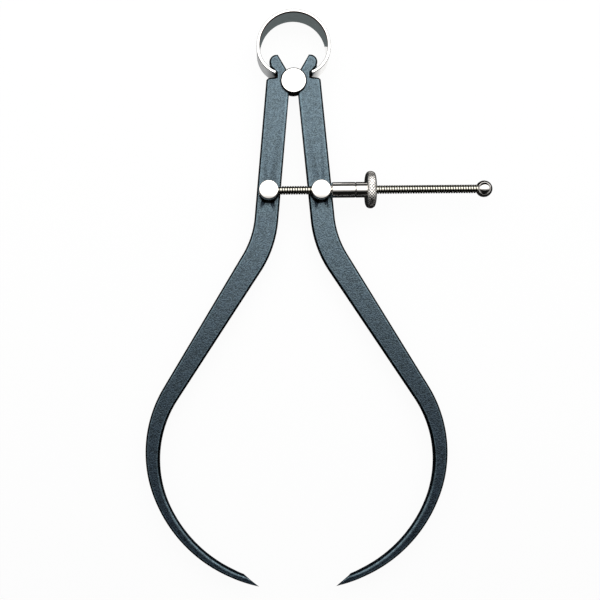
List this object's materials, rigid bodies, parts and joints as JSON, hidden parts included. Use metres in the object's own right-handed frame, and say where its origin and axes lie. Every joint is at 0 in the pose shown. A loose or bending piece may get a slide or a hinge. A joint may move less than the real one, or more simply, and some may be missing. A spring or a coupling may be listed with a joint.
{
  "type": "outside spring caliper",
  "caption": "Outside spring caliper: flat bowed legs on a fulcrum stud under a bow spring, set by a knurled nut on a ball-ended screw.",
  "frame": {"origin": "on the fulcrum axis, at the back face of the fulcrum stud", "axes": "+Z out of the front face, along the fulcrum axis; +Y from the measuring points to the bow; +X along the screw to its ball end"},
  "size_m": [0.1039, 0.1721, 0.0151],
  "materials": {
    "black_steel": "satin blue-black finish with a fine grain",
    "spring_steel": "bright plated spring band",
    "bright_steel": "bright plated turned steel"
  },
  "bodies": {
    "bow": {"bow_spring": "spring_steel", "fulcrum_stud": "bright_steel"},
    "left_leg": {"left_leg": "black_steel"},
    "right_leg": {"right_leg": "black_steel"},
    "screw": {"screw_post": "bright_steel", "adjusting_screw": "bright_steel"},
    "nut_post": {"nut_post": "bright_steel"},
    "sleeve": {"thrust_sleeve": "bright_steel"},
    "nut": {"adjusting_nut": "bright_steel"}
  },
  "joints": [
    {"name": "left_leg_swing", "type": "hinge", "parent": "bow", "child": "left_leg", "pos_m": [0, 0, 0.0025], "axis": [0, 0, -1], "range_deg": [-4.3, 25], "deforming": ["bow_spring"]},
    {"name": "right_leg_swing", "type": "hinge", "parent": "bow", "child": "right_leg", "pos_m": [0, 0, 0.0025], "axis": [0, 0, 1], "range_deg": [-4.3, 25]},
    {"name": "screw_swivel", "type": "hinge", "parent": "left_leg", "child": "screw", "pos_m": [-0.00772, -0.0332, 0.0041], "axis": [0, 0, 1], "range_deg": [-4.3, 25]},
    {"name": "nut_post_swivel", "type": "hinge", "parent": "right_leg", "child": "nut_post", "pos_m": [0.00772, -0.0332, 0.0041], "axis": [0, 0, -1], "range_deg": [-4.3, 25]},
    {"name": "sleeve_slide", "type": "slide", "parent": "screw", "child": "sleeve", "axis": [1, 0, 0], "range_m": [-0.005, 0.029]},
    {"name": "nut_spin", "type": "hinge", "parent": "sleeve", "child": "nut", "pos_m": [0.02097, -0.0332, 0.0071], "axis": [1, 0, 0], "continuous": true}
  ],
  "couplings": [
    {"joint": "right_leg_swing", "follows": "left_leg_swing", "ratio": 1},
    {"joint": "screw_swivel", "follows": "left_leg_swing", "ratio": 1},
    {"joint": "nut_post_swivel", "follows": "left_leg_swing", "ratio": 1},
    {"joint": "sleeve_slide", "follows": "left_leg_swing", "m_per_rad": 0.0664},
    {"joint": "nut_spin", "follows": "left_leg_swing", "ratio": 556.27}
  ]
}
